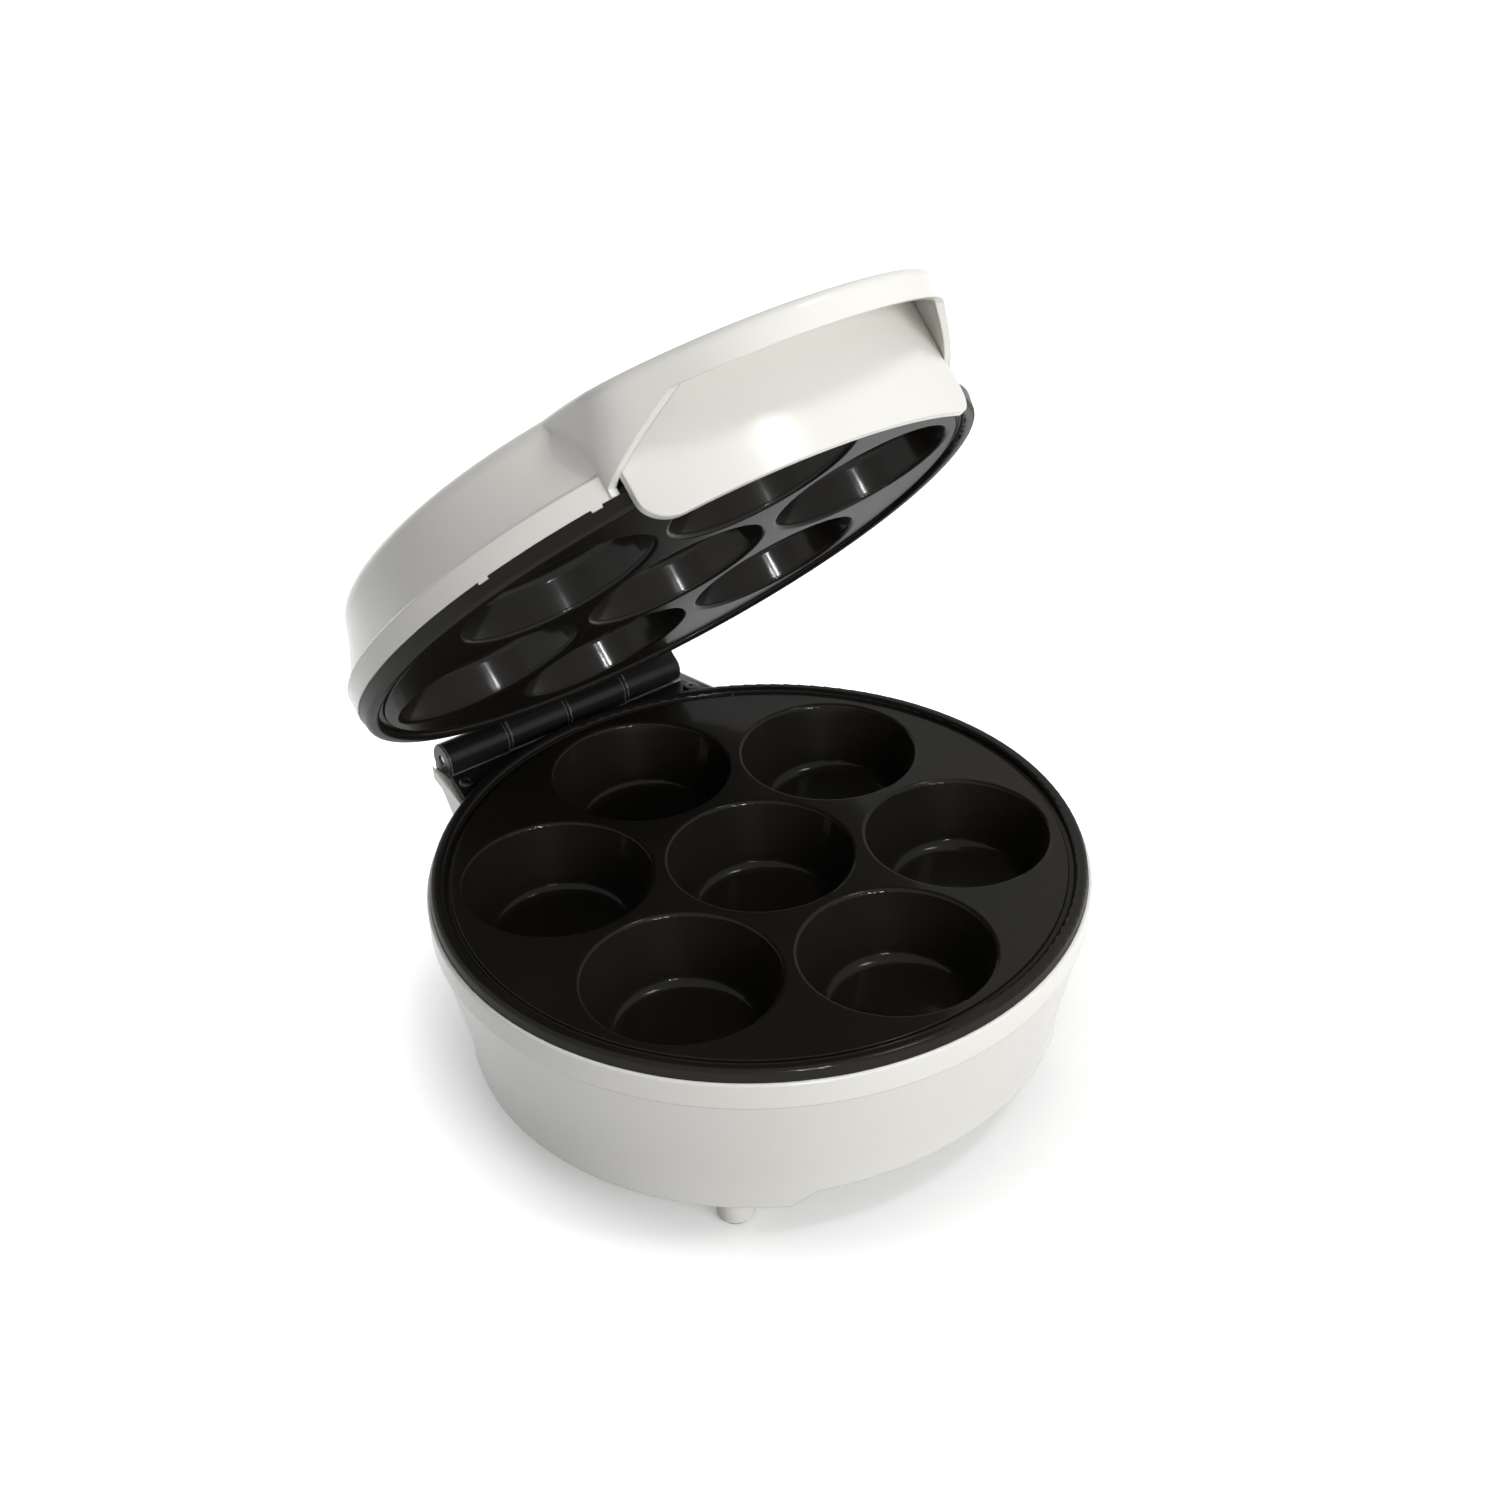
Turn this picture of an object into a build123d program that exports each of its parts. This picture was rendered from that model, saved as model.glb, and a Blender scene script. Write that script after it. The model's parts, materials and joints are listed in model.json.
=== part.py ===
"""Round countertop cupcake maker: a base and a hinged lid, each with seven wells, standing open.

The frame stands on the table: +Z up, the handle towards -Y and the hinge towards +Y. Every piece
is drawn round the axis of the body with the lid closed. At the end the lid's pieces are swung up
on the hinge and everything is set with its middle over the origin.
"""
import math
import os

from build123d import *

os.makedirs("parts", exist_ok=True)

# Whole body
body_radius = 110.2
rim_height = 72.0
skirt_height_share = 3 / 16
wall = 2.5
sheet = 0.8
overrun = 4.0

# Fits between pieces
seat_gap = 0.2
screw_gap = 0.1
running_gap = 0.06
lid_gap = 0.3

# Band round the rim, and the taper and waist below it
band_height = 9.0
band_step = 0.8
groove_height = 0.9
waist_taper = 6.8
waist_height = 17.5
waist_bulge = 0.35
skirt_taper = 8.7
edge_round = 0.8

# Raised scoop in the front of the skirt
scoop_half_width = 57.4
scoop_ramp = 7.0
scoop_side_rise = 5.6
scoop_middle_rise = 7.6
scoop_round = 2.5
scoop_start = 70.0

# Cooking plates
plate_margin = 1.0
plate_draft = 0.7
plate_thickness = 3.2
bead_width = 4.8
bead_round = 1.6
moat_width = 2.0
moat_drop = 2.6
moat_round = 0.5
flat_drop = 1.5
base_bead_height = 4.2
lid_bead_height = 5.2
locating_rib_depth = 3.0
locating_rib_width = 2.4
well_border = 11.7
well_web = 5.5
outer_wells = 6
first_well_angle = 30.0
well_draft = 16.0
well_floor_round = 5.0
well_rim_round = 1.5
base_well_depth_share = 1 / 3
lid_well_depth = 14.0
cup_wall = 2.6

# Heating elements, their pans and the screws that hold the pans to the plates
element_radius = 3.25
element_gap_angle = 20.0
element_pin_length_share = 0.5
element_pin_radius = 2.4
pan_top_margin = 7.4
pan_floor_margin = 12.7
pan_hole_radius = 5.0
pan_boss_radius = 4.0
pan_boss_count = 3
screw_radius = 1.5
screw_head_radius = 3.0
screw_head_height = 1.8
screw_head_round = 0.7
screw_bite = 6.0
tip_gap = 0.4

# Bottom cover and what stands on or under it
cover_height_share = 7 / 24
cover_vent_count = 12
cover_vent_ring = 58.0
cover_vent_length = 18.0
cover_vent_width = 3.0
post_radius = 3.6
post_margin = 6.3
post_height_share = 0.66
post_angles = (20.0, 160.0, 200.0, 340.0)
foot_margin = 19.7
foot_count = 4
first_foot_angle = 45.0
foot_radius = 6.2
foot_spigot_radius = 3.0
foot_base = 1.0
pad_radius = 5.0
pad_recess = 0.8

# Hinge
hinge_reach = 8.15
hinge_rise = 3.3
knuckle_radius = 6.0
knuckle_length = 25.4
knuckle_gap = 0.3
knuckle_count = 4
knuckle_chamfer = 0.6
pin_radius = 2.0
pin_inset = 0.6
leaf_thickness = 2.8
leaf_drop = 0.5
leaf_screw_x = 49.5
leaf_screw_reach = 5.0
lid_leaf_screw_x = 44.0
web_rear = 4.5
rest_angle = 46.7

# Bosses that carry the hinge's leaves
boss_start_share = 0.762
boss_front_flare = 8.8
boss_rear_flare = 1.8
boss_corner_round = 5.0
boss_lip = 1.2
boss_rear_gap = 0.5
boss_floor = 1.5
boss_depth = 25.5
lid_boss_height = 12.5
lid_boss_rear = 0.3
lid_boss_front_flare = 5.0
lid_boss_rear_flare = 1.2
lid_boss_round = 2.0

# Lid shell: band, wall, shoulder and shallow dome
lid_margin = 0.7
lid_band_height = 7.0
lid_wall_step = 1.2
lid_wall_belly = 5.1
lid_wall_belly_height = 15.5
lid_shoulder_margin = 11.0
lid_shoulder_round = 8.0
dome_rise = 43.5
dome_radius = 414.0

# Hood over the handle: outlines at two levels, and the lip that hangs down at its front
hood_low_rise = 2.3
hood_high_rise = 32.3
hood_width_share = 0.5653
hood_back_share = 0.5445
hood_low_side_share = 0.8258
hood_high_side_share = 0.8984
hood_low_overhang = 30.6
hood_high_overhang = 40.7
hood_low_width_shares = (0.815, 0.66)
hood_low_reach_shares = (0.387, 0.673)
hood_high_width_shares = (0.987, 0.843)
hood_high_reach_shares = (0.218, 0.491)
hood_turn_share = 0.6
hood_cut_share = 0.868
hood_wall = 2.8
lip_height = 9.3
hood_edge_slope = 21.7
hood_top_round = 3.0

# Soft fold where the hood's sides leave the lid's wall, at stations up the wall
fold_round = 11.0
fold_bite = 1.0
fold_cover = 0.06
fold_place_shares = (0.0, 0.2, 0.4, 0.55, 0.66)
fold_round_shares = (0.6, 0.85, 1.0, 0.8, 0.35)

# Apron behind the finger space
apron_gap = 0.7
apron_thickness = 2.0
apron_inset = 3.3
apron_drop = 3.7
apron_corner_round = 9.0

# Indicator lamps on the dome
lens_radius = 4.0
lens_flange_radius = 5.2
lens_flange = 1.4
lens_rise = 1.1
lens_round = 0.8
lens_x = 8.0
lens_y_share = 0.744
lamp_radius = 2.6
lamp_gap = 1.1
lamp_plate_length = 44.0
lamp_plate_width = 12.0
lamp_plate_thickness = 1.6
lamp_post_radius = 2.2
lamp_post_margin = 4.0
lamp_plate_gap = 3.0
lamp_spigot_radius = 1.2

# Cord inlet, terminal block, thermostat and thermal fuse
gland_radius = 6.0
gland_flange_radius = 7.8
gland_flange = 2.0
gland_bore = 3.6
gland_inner = 14.0
gland_seat_radius = 9.0
gland_seat_rise = 2.4
block_length = 30.0
block_width = 16.0
block_height_share = 0.6
block_place_shares = (0.345, 0.472)
block_ways = 3
block_pitch = 9.0
block_screw_radius = 2.0
block_screw_depth = 3.0
thermostat_radius = 8.0
thermostat_depth_share = 0.66
thermostat_flange_radius = 10.5
thermostat_flange = 1.2
thermostat_tab_width = 4.8
thermostat_tab_length = 7.0
thermostat_tab_pitch = 8.0
fuse_radius = 2.0
fuse_length = 12.0
fuse_lead_radius = 0.6
fuse_lead_length = 6.0
fuse_y_share = 0.2

# Clip tabs of the lid shell that hold the upper plate's rim
clip_width = 3.4
clip_reach = 1.9
clip_height = 0.8
clip_angles = (-33.0, -53.0, -127.0, -147.0)

# Radii and levels that follow from the sizes above, with the lid closed
skirt_height = rim_height * skirt_height_share
cover_height = rim_height * cover_height_share
base_well_depth = rim_height * base_well_depth_share
plate_radius = body_radius - plate_margin
lid_radius = body_radius - lid_margin
skirt_radius = body_radius - skirt_taper
waist_radius = body_radius - waist_taper
well_radius = (body_radius - well_border - well_web) / 3
well_pitch = 2 * well_radius + well_web
element_ring_radius = well_pitch - well_radius / 2
pan_boss_ring = well_pitch / math.sqrt(3)
pan_top_radius = body_radius - pan_top_margin
pan_floor_radius = body_radius - pan_floor_margin
cover_radius = skirt_radius - wall - seat_gap
post_ring = cover_radius - post_margin
foot_ring = body_radius - foot_margin
parting_low = rim_height + base_bead_height
parting_high = parting_low + lid_gap
lid_rim_height = parting_high + lid_bead_height
base_flat = parting_low - flat_drop
lid_flat = parting_high + flat_drop
base_cup_bottom = base_flat - base_well_depth - cup_wall
lid_cup_top = lid_flat + lid_well_depth + cup_wall
base_pan_floor = base_cup_bottom - 2 * element_radius
lid_pan_floor = lid_cup_top + 2 * element_radius
cover_top = cover_height + wall
inner_height = base_pan_floor - sheet - cover_top
gland_height = cover_top + inner_height / 2
block_height = inner_height * block_height_share
block_place = tuple(body_radius * share for share in block_place_shares)
element_pin_length = inner_height * element_pin_length_share
thermostat_depth = inner_height * thermostat_depth_share
post_height = inner_height * post_height_share
fuse_y = body_radius * fuse_y_share
lens_y = body_radius * lens_y_share
clip_ring = lid_radius - screw_gap - clip_reach / 2
leaf_top = rim_height - leaf_drop
leaf_bottom = leaf_top - leaf_thickness
lid_leaf_bottom = lid_rim_height + leaf_drop
lid_leaf_top = lid_leaf_bottom + leaf_thickness
hinge_y = body_radius + hinge_reach
hinge_z = rim_height + hinge_rise
leaf_rear_y = hinge_y - knuckle_radius
knuckle_step = knuckle_length + knuckle_gap
hinge_length = knuckle_count * knuckle_step - knuckle_gap
half_hinge = hinge_length / 2
leaf_screw_y = leaf_rear_y - leaf_screw_reach - screw_head_radius
boss_start_y = body_radius * boss_start_share
boss_rear_y = hinge_y + knuckle_radius + boss_rear_gap
dome_apex = lid_rim_height + dome_rise
hood_low_height = lid_rim_height + hood_low_rise
hood_high_height = lid_rim_height + hood_high_rise
hood_half_width = body_radius * hood_width_share
hood_back_y = body_radius * hood_back_share
hood_low_side = body_radius * hood_low_side_share
hood_high_side = body_radius * hood_high_side_share
hood_low_reach = body_radius + hood_low_overhang
hood_high_reach = body_radius + hood_high_overhang
apron_radius = body_radius + apron_gap + apron_thickness
apron_half_width = hood_half_width - apron_inset
apron_bottom = rim_height - apron_drop


def ring_places(radius, count, first_angle):
    """Points evenly spaced on a circle round the body's axis."""
    angles = [math.radians(first_angle + 360 / count * turn) for turn in range(count)]
    return [(radius * math.cos(angle), radius * math.sin(angle)) for angle in angles]


def on_both_sides(x, y):
    """One point and its mirror image on the other side."""
    return [(-x, y), (x, y)]


def dome_level(radius, drop):
    """Height of the dome's surface, lowered by drop, at a radius from the axis."""
    return dome_apex - drop - dome_radius + math.sqrt(dome_radius**2 - radius**2)


hood_cut_level = dome_level(body_radius * hood_cut_share, 0)
well_places = [(0, 0)] + ring_places(well_pitch, outer_wells, first_well_angle)
pan_boss_places = ring_places(pan_boss_ring, pan_boss_count, 0)
foot_places = ring_places(foot_ring, foot_count, first_foot_angle)
post_places = [
    (post_ring * math.cos(math.radians(angle)), post_ring * math.sin(math.radians(angle)))
    for angle in post_angles
]
base_leaf_screw_places = on_both_sides(leaf_screw_x, leaf_screw_y)
lid_leaf_screw_places = on_both_sides(lid_leaf_screw_x, leaf_screw_y)
element_end_places = [
    (
        element_ring_radius * math.cos(math.radians(90 + turn)),
        element_ring_radius * math.sin(math.radians(90 + turn)),
    )
    for turn in (element_gap_angle, -element_gap_angle)
]


# Base shell: one moulding with the hinge boss behind and the scoop in front


def base_turning(inset, beyond):
    """Section of the base's body, drawn in from its outside by inset and past both ends."""
    groove = rim_height - band_height
    waist_end = skirt_height + waist_height
    with BuildLine() as outline:
        Polyline(
            (skirt_radius - inset, skirt_height),
            (skirt_radius - inset, skirt_height - beyond),
            (0, skirt_height - beyond),
            (0, rim_height + beyond),
            (body_radius - inset, rim_height + beyond),
            (body_radius - inset, groove),
            (body_radius - band_step - inset, groove - groove_height),
            (waist_radius - inset, waist_end),
        )
        ThreePointArc(
            (waist_radius - inset, waist_end),
            (
                (waist_radius + skirt_radius) / 2 - waist_bulge - inset,
                skirt_height + waist_height / 2,
            ),
            (skirt_radius - inset, skirt_height),
        )
    return outline.line


def boss_outline(inset, rear, front_flare, rear_flare):
    """Plan of a hinge boss: two sides that close in towards a straight rear edge."""
    front_half = half_hinge + front_flare - inset
    rear_half = half_hinge + rear_flare - inset
    with BuildLine() as outline:
        Polyline(
            (rear_half, rear),
            (front_half, boss_start_y),
            (-front_half, boss_start_y),
            (-rear_half, rear),
            close=True,
        )
    return outline.line


with BuildPart() as base_boss:
    # Hinge boss, with a sloping underside
    with BuildSketch(Plane.XY.offset(leaf_top - boss_depth)) as boss_plan:
        add(boss_outline(0, boss_rear_y, boss_front_flare, boss_rear_flare))
        make_face()
        fillet(boss_plan.vertices().group_by(Axis.Y)[-1], boss_corner_round)
    extrude(amount=boss_depth)
    with BuildSketch(Plane.YZ):
        with BuildLine():
            Polyline(
                (boss_start_y, leaf_top - boss_depth - overrun),
                (boss_start_y, leaf_top - boss_depth),
                (hinge_y - leaf_screw_reach, leaf_bottom - boss_floor),
                (boss_rear_y + overrun, leaf_bottom - boss_floor),
                (boss_rear_y + overrun, leaf_top - boss_depth - overrun),
                close=True,
            )
        make_face()
    extrude(amount=half_hinge + boss_front_flare + overrun, both=True, mode=Mode.SUBTRACT)

with BuildPart() as base_shell:
    with BuildSketch(Plane.XZ) as base_section:
        add(base_turning(0, edge_round))
        make_face()
    revolve(axis=Axis.Z)
    # Trim to the rim and the skirt's edge
    with BuildSketch(Plane.XY.offset(skirt_height)):
        Circle(body_radius + overrun)
    extrude(amount=rim_height - skirt_height, mode=Mode.INTERSECT)
    fillet(base_shell.edges().group_by(Axis.Z)[-1], edge_round)
    add(base_boss.part)
    # Pocket for the base's leaf, outside the round rim and open at the rear
    with BuildSketch(Plane.XY.offset(leaf_bottom)):
        add(boss_outline(boss_lip, boss_rear_y + overrun, boss_front_flare, boss_rear_flare))
        make_face()
        Circle(body_radius, mode=Mode.SUBTRACT)
    extrude(amount=leaf_thickness + overrun, mode=Mode.SUBTRACT)
    # Seat for the cord inlet
    with BuildSketch(Plane.XZ.offset(-waist_radius - gland_seat_rise)):
        with Locations((0, gland_height)):
            Circle(gland_seat_radius)
    extrude(amount=gland_seat_rise + wall)
    # Hollow inside
    with BuildSketch(Plane.XZ):
        add(base_turning(wall, overrun))
        make_face()
    revolve(axis=Axis.Z, mode=Mode.SUBTRACT)
    # Scoop in the front of the skirt
    with BuildSketch(Plane.XZ.offset(scoop_start)) as scoop:
        ramp_top = skirt_height + scoop_side_rise
        with BuildLine():
            Polyline(
                (-(scoop_half_width - scoop_ramp), ramp_top),
                (-scoop_half_width, skirt_height),
                (-scoop_half_width, skirt_height - overrun),
                (scoop_half_width, skirt_height - overrun),
                (scoop_half_width, skirt_height),
                (scoop_half_width - scoop_ramp, ramp_top),
            )
            ThreePointArc(
                (scoop_half_width - scoop_ramp, ramp_top),
                (0, skirt_height + scoop_middle_rise),
                (-(scoop_half_width - scoop_ramp), ramp_top),
            )
        make_face()
        fillet(scoop.vertices().group_by(Axis.Y)[-1], scoop_round)
    extrude(amount=body_radius, mode=Mode.SUBTRACT)
    # Posts for the bottom cover's screws, each on a rib to the wall
    rib_end = skirt_radius - wall / 2
    with BuildSketch(Plane.XY.offset(cover_top)):
        with Locations(post_places):
            Circle(post_radius)
        for angle in post_angles:
            with Locations(Rotation(0, 0, angle) * Pos((post_ring + rib_end) / 2, 0)):
                Rectangle(rib_end - post_ring, wall)
    extrude(amount=post_height)
    with BuildSketch(Plane.XY.offset(cover_top)):
        with Locations(post_places):
            Circle(screw_radius + screw_gap)
    extrude(amount=screw_bite + tip_gap, mode=Mode.SUBTRACT)
    # Hole for the cord inlet
    with BuildSketch(Plane.XZ):
        with Locations((0, gland_height)):
            Circle(gland_radius + seat_gap)
    extrude(amount=-(body_radius + overrun), mode=Mode.SUBTRACT)
    # Pilot holes for the leaf's screws
    with BuildSketch(Plane.XY.offset(leaf_bottom)):
        with Locations(base_leaf_screw_places):
            Circle(screw_radius + screw_gap)
    extrude(amount=-(screw_bite + tip_gap), mode=Mode.SUBTRACT)


# Cooking plates: a beaded rim, a moat inside it, a flat and seven wells


def plate_turning(rim, face, side, shell_radius):
    """Section of a plate whose cooking side looks towards side (1 up, -1 down)."""
    flat = face - side * flat_drop
    back = flat - side * plate_thickness
    bead_inner = plate_radius - bead_width
    moat_inner = bead_inner - moat_width
    moat = face - side * moat_drop
    rib_outer = shell_radius - wall - seat_gap
    rib_inner = rib_outer - locating_rib_width
    rib_end = rim - side * locating_rib_depth
    with BuildSketch() as section:
        with BuildLine():
            Polyline(
                (0, flat),
                (moat_inner, flat),
                (moat_inner, moat),
                (bead_inner, moat),
                (bead_inner, face),
                (plate_radius - plate_draft, face),
                (plate_radius, rim),
                (rib_outer, rim),
                (rib_outer, rib_end),
                (rib_inner, rib_end),
                (rib_inner, back),
                (0, back),
                close=True,
            )
        make_face()
        crest = section.vertices().filter_by_position(Axis.Y, face - screw_gap, face + screw_gap)
        fillet(crest, bead_round)
        groove = section.vertices().filter_by_position(Axis.Y, moat - screw_gap, moat + screw_gap)
        fillet(groove, moat_round)
        fillet(section.vertices().sort_by_distance((moat_inner, flat))[0], moat_round)
    return section.sketch


def cup_outside(flat, depth, side):
    """The metal round one well: a tapering solid that stands out behind the plate."""
    start = flat - side * plate_thickness / 2
    end = flat - side * (depth + cup_wall)
    rim = well_radius + cup_wall
    foot = rim - depth * math.tan(math.radians(well_draft))
    with BuildPart() as cup:
        with BuildSketch(Plane.XZ):
            with BuildLine():
                Polyline((0, start), (rim, start), (foot, end), (0, end), close=True)
            make_face()
        revolve(axis=Axis.Z)
    return cup.part


def well_inside(flat, depth, side):
    """The room of one well: a rounded lip, a tapering wall and a floor with a round corner."""
    above = flat + side * overrun
    floor = flat - side * depth
    foot = well_radius - depth * math.tan(math.radians(well_draft))
    with BuildPart() as well:
        with BuildSketch(Plane.XZ) as section:
            with BuildLine():
                Polyline(
                    (0, above),
                    (well_radius + well_rim_round, above),
                    (well_radius + well_rim_round, flat),
                )
                ThreePointArc(
                    (well_radius + well_rim_round, flat),
                    (
                        well_radius + well_rim_round * (1 - math.sin(math.radians(45))),
                        flat - side * well_rim_round * (1 - math.cos(math.radians(45))),
                    ),
                    (well_radius, flat - side * well_rim_round),
                )
                Polyline(
                    (well_radius, flat - side * well_rim_round),
                    (foot, floor),
                    (0, floor),
                    (0, above),
                )
            make_face()
            fillet(section.vertices().sort_by_distance((foot, floor))[0], well_floor_round)
        revolve(axis=Axis.Z)
    return well.part


base_cup = cup_outside(base_flat, base_well_depth, 1)
base_well = well_inside(base_flat, base_well_depth, 1)
lid_cup = cup_outside(lid_flat, lid_well_depth, -1)
lid_well = well_inside(lid_flat, lid_well_depth, -1)

with BuildPart() as lower_plate:
    with BuildSketch(Plane.XZ):
        add(plate_turning(rim_height, parting_low, 1, body_radius))
    revolve(axis=Axis.Z)
    with Locations(well_places):
        add(base_cup)
    # Bosses for the screws that hold the pan
    with BuildSketch(Plane.XY.offset(base_pan_floor)):
        with Locations(pan_boss_places):
            Circle(pan_boss_radius)
    extrude(amount=base_flat - plate_thickness / 2 - base_pan_floor)
    with BuildSketch(Plane.XY.offset(base_pan_floor)):
        with Locations(pan_boss_places):
            Circle(screw_radius + screw_gap)
    extrude(amount=screw_bite + tip_gap, mode=Mode.SUBTRACT)
    with Locations(well_places):
        add(base_well, mode=Mode.SUBTRACT)

with BuildPart() as upper_plate:
    with BuildSketch(Plane.XZ):
        add(plate_turning(lid_rim_height, parting_high, -1, lid_radius))
    revolve(axis=Axis.Z)
    with Locations(well_places):
        add(lid_cup)
    with BuildSketch(Plane.XY.offset(lid_pan_floor)):
        with Locations(pan_boss_places):
            Circle(pan_boss_radius)
    extrude(amount=-(lid_pan_floor - lid_flat - plate_thickness / 2))
    with BuildSketch(Plane.XY.offset(lid_pan_floor)):
        with Locations(pan_boss_places):
            Circle(screw_radius + screw_gap)
    extrude(amount=-(screw_bite + tip_gap), mode=Mode.SUBTRACT)
    with Locations(well_places):
        add(lid_well, mode=Mode.SUBTRACT)
    # Notches in the rim for the shell's clip tabs
    with BuildSketch(Plane.XY.offset(lid_rim_height)):
        for angle in clip_angles:
            with Locations(Rotation(0, 0, angle) * Pos(lid_radius, 0)):
                Rectangle(2 * (clip_reach + seat_gap), clip_width + 2 * seat_gap)
    extrude(amount=-(clip_height + seat_gap), mode=Mode.SUBTRACT)


# Heating elements: a tubular ring whose two ends turn away from the plate through its pan


def element_ring(level, side):
    """A ring at its level; its end pins leave it towards the pan."""
    start_angle = math.radians(90 + element_gap_angle)
    start = Plane(
        origin=(0, 0, 0),
        x_dir=(math.cos(start_angle), math.sin(start_angle), 0),
        z_dir=(math.sin(start_angle), -math.cos(start_angle), 0),
    )
    with BuildPart() as ring:
        with BuildSketch(start):
            with Locations((element_ring_radius, level)):
                Circle(element_radius)
        revolve(axis=Axis.Z, revolution_arc=360 - 2 * element_gap_angle)
        with BuildSketch(Plane.XY.offset(level)):
            with Locations(element_end_places):
                Circle(element_pin_radius)
        extrude(amount=-side * (element_radius + element_pin_length))
        with Locations([(x, y, level) for x, y in element_end_places]):
            Sphere(element_radius)
    return ring.part


def pan(floor, top, side):
    """A dish of thin sheet from its flat floor to its open edge, with holes for pins and screws."""
    with BuildPart() as dish:
        with BuildSketch(Plane.XZ):
            with BuildLine():
                Polyline(
                    (0, floor),
                    (pan_floor_radius - sheet, floor),
                    (pan_top_radius - sheet, top),
                    (pan_top_radius, top),
                    (pan_floor_radius, floor - side * sheet),
                    (0, floor - side * sheet),
                    close=True,
                )
            make_face()
        revolve(axis=Axis.Z)
        with BuildSketch(Plane.XY.offset(floor)):
            with Locations(element_end_places):
                Circle(pan_hole_radius)
            with Locations(pan_boss_places):
                Circle(screw_radius + screw_gap)
        extrude(amount=sheet, both=True, mode=Mode.SUBTRACT)
    return dish.part


with BuildPart() as lower_element:
    add(element_ring(base_cup_bottom - element_radius, 1))

with BuildPart() as upper_element:
    add(element_ring(lid_cup_top + element_radius, -1))

with BuildPart() as lower_reflector:
    add(pan(base_pan_floor, base_flat - plate_thickness - seat_gap, 1))
    # Hole for the thermostat
    with BuildSketch(Plane.XY.offset(base_pan_floor)):
        Circle(thermostat_radius + seat_gap)
    extrude(amount=-sheet, mode=Mode.SUBTRACT)

with BuildPart() as upper_reflector:
    add(pan(lid_pan_floor, lid_flat + plate_thickness + seat_gap, -1))


# Screws: pan heads against the piece that they hold


def screws(places, seat, side, bite):
    """A group of screws; each thread leaves its head's seat towards side."""
    with BuildPart() as group:
        with BuildSketch(Plane.XY.offset(seat)):
            with Locations(places):
                Circle(screw_head_radius)
        extrude(amount=-side * screw_head_height)
        outer = group.edges().group_by(Axis.Z)[0 if side > 0 else -1]
        fillet(outer, screw_head_round)
        with BuildSketch(Plane.XY.offset(seat)):
            with Locations(places):
                Circle(screw_radius)
        extrude(amount=side * bite)
    return group.part


with BuildPart() as lower_pan_screws:
    add(screws(pan_boss_places, base_pan_floor - sheet, 1, sheet + screw_bite))

with BuildPart() as upper_pan_screws:
    add(screws(pan_boss_places, lid_pan_floor + sheet, -1, sheet + screw_bite))

with BuildPart() as cover_screws:
    add(screws(post_places, cover_height, 1, wall + screw_bite))

with BuildPart() as base_leaf_screws:
    add(screws(base_leaf_screw_places, leaf_top, -1, leaf_thickness + screw_bite))

with BuildPart() as lid_leaf_screws:
    add(screws(lid_leaf_screw_places, lid_leaf_bottom, 1, leaf_thickness + screw_bite))


# Bottom cover with vents, its feet and their pads

with BuildPart() as bottom_cover:
    with BuildSketch(Plane.XY.offset(cover_height)):
        Circle(cover_radius)
        with PolarLocations(cover_vent_ring, cover_vent_count):
            SlotOverall(cover_vent_length, cover_vent_width, mode=Mode.SUBTRACT)
        with Locations(post_places):
            Circle(screw_radius + screw_gap, mode=Mode.SUBTRACT)
        with Locations(foot_places):
            Circle(foot_spigot_radius + screw_gap, mode=Mode.SUBTRACT)
    extrude(amount=wall)

with BuildPart() as feet:
    with BuildSketch(Plane.XY.offset(foot_base)):
        with Locations(foot_places):
            Circle(foot_radius)
    extrude(amount=cover_height - foot_base)
    fillet(feet.edges().group_by(Axis.Z)[0], edge_round)
    with BuildSketch(Plane.XY.offset(cover_height)):
        with Locations(foot_places):
            Circle(foot_spigot_radius)
    extrude(amount=wall)
    with BuildSketch(Plane.XY.offset(foot_base)):
        with Locations(foot_places):
            Circle(pad_radius + screw_gap)
    extrude(amount=pad_recess, mode=Mode.SUBTRACT)

with BuildPart() as foot_pads:
    with BuildSketch(Plane.XY):
        with Locations(foot_places):
            Circle(pad_radius)
    extrude(amount=foot_base + pad_recess)


# Hinge: four knuckles that take turns, base and lid, on one pin


def knuckle_start(number):
    """Left end of a knuckle, counted from the left."""
    return number * knuckle_step - half_hinge


def knuckle_with_web(number, low, high, rear):
    """One knuckle and the block that ties it to its leaf, between two levels."""
    start = knuckle_start(number)
    with BuildPart() as barrel:
        with BuildSketch(Plane.YZ.offset(start)):
            with Locations((hinge_y, hinge_z)):
                Circle(knuckle_radius)
        extrude(amount=knuckle_length)
        chamfer(barrel.edges().filter_by(GeomType.CIRCLE), knuckle_chamfer)
        with BuildSketch(Plane.YZ.offset(start + knuckle_chamfer)):
            with BuildLine():
                Polyline(
                    (leaf_rear_y, low),
                    (hinge_y + rear, low),
                    (hinge_y + rear, high),
                    (leaf_rear_y, high),
                    close=True,
                )
            make_face()
        extrude(amount=knuckle_length - 2 * knuckle_chamfer)
        with BuildSketch(Plane.YZ.offset(start - overrun)):
            with Locations((hinge_y, hinge_z)):
                Circle(pin_radius + running_gap)
        extrude(amount=knuckle_length + 2 * overrun, mode=Mode.SUBTRACT)
    return barrel.part


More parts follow.
